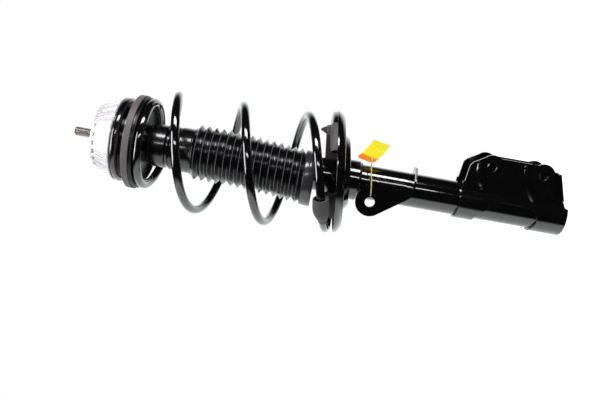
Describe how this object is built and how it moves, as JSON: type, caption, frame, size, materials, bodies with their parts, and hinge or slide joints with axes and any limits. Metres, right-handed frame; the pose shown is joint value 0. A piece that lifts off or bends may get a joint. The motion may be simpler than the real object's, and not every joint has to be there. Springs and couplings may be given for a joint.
{
  "type": "suspension strut",
  "caption": "Front suspension strut: coil spring over a telescopic damper with a ribbed dust boot, a rubber top mount on a bearing, a spring perch and clevis and link brackets.",
  "frame": {"origin": "on the strut axis at the top face of the mount cone, where the threaded stud leaves it", "axes": "+Z along the strut axis towards the stud; +X the way the knuckle bracket's flanges point; the knuckle bolts run along Y and the link bracket's plate faces -Y"},
  "size_m": [0.1682, 0.1647, 0.6535],
  "materials": {
    "cast_aluminium": "die-cast, bright",
    "mount_rubber": "glossy bonded rubber",
    "plated_steel": "zinc plated",
    "rod_steel": "hard chromed and ground, threaded stud plated",
    "cover_plastic": "matte moulded",
    "race_steel": "ground",
    "ball_steel": "polished",
    "cage_plastic": "moulded",
    "seat_black": "gloss coated",
    "pad_rubber": "satin",
    "lower_pad_rubber": "dusty matte",
    "spring_paint": "gloss powder coat",
    "boot_rubber": "satin moulded",
    "bumper_foam": "microcellular foam",
    "tube_paint": "gloss paint",
    "perch_paint": "gloss paint",
    "bracket_paint": "gloss paint",
    "valve_steel": "machined",
    "seal_rubber": "smooth",
    "band_plastic": "filled low-friction band",
    "tag_card": "card",
    "tag_cord": "twisted string"
  },
  "bodies": {
    "top_mount": {"mount_cone": "cast_aluminium", "mount_rubber": "mount_rubber", "mount_sleeve": "plated_steel", "nut_washer": "plated_steel", "rod_nut": "plated_steel", "piston_rod": "rod_steel", "bearing_cover": "cover_plastic", "upper_race": "race_steel", "bump_cup": "plated_steel", "bump_stop": "bumper_foam", "piston": "valve_steel", "piston_band": "band_plastic", "valve_discs": "valve_steel", "piston_nut": "plated_steel", "rebound_stop": "valve_steel"},
    "bearing_set": {"bearing_cage": "cage_plastic", "bearing_balls": "ball_steel"},
    "spring_seat": {"lower_race": "race_steel", "upper_seat": "seat_black", "upper_spring_pad": "pad_rubber", "coil_spring": "spring_paint", "dust_boot": "boot_rubber"},
    "damper": {"strut_tube": "tube_paint", "inner_cylinder": "valve_steel", "rod_guide": "valve_steel", "rod_seal": "seal_rubber", "gland_cap": "plated_steel", "base_valve": "valve_steel", "end_cap": "tube_paint", "spring_perch": "perch_paint", "perch_collar": "perch_paint", "lower_pad": "lower_pad_rubber", "link_bracket": "bracket_paint", "knuckle_bracket": "bracket_paint", "tag_string": "tag_cord", "tag_label": "tag_card"}
  },
  "joints": [
    {"name": "steer", "type": "hinge", "parent": "top_mount", "child": "spring_seat", "pos_m": [0, 0, -0.055], "axis": [0, 0, 1], "range_deg": [-40, 40]},
    {"name": "bearing_turn", "type": "hinge", "parent": "top_mount", "child": "bearing_set", "pos_m": [0, 0, -0.055], "axis": [0, 0, 1], "range_deg": [-20, 20]},
    {"name": "stroke", "type": "slide", "parent": "spring_seat", "child": "damper", "axis": [0, 0, 1], "range_m": [0, 0.11], "stiffness_N_per_m": 20000, "springref_m": -0.005, "deforming": ["coil_spring", "dust_boot"]}
  ],
  "couplings": [
    {"joint": "bearing_turn", "follows": "steer", "ratio": 0.5}
  ]
}
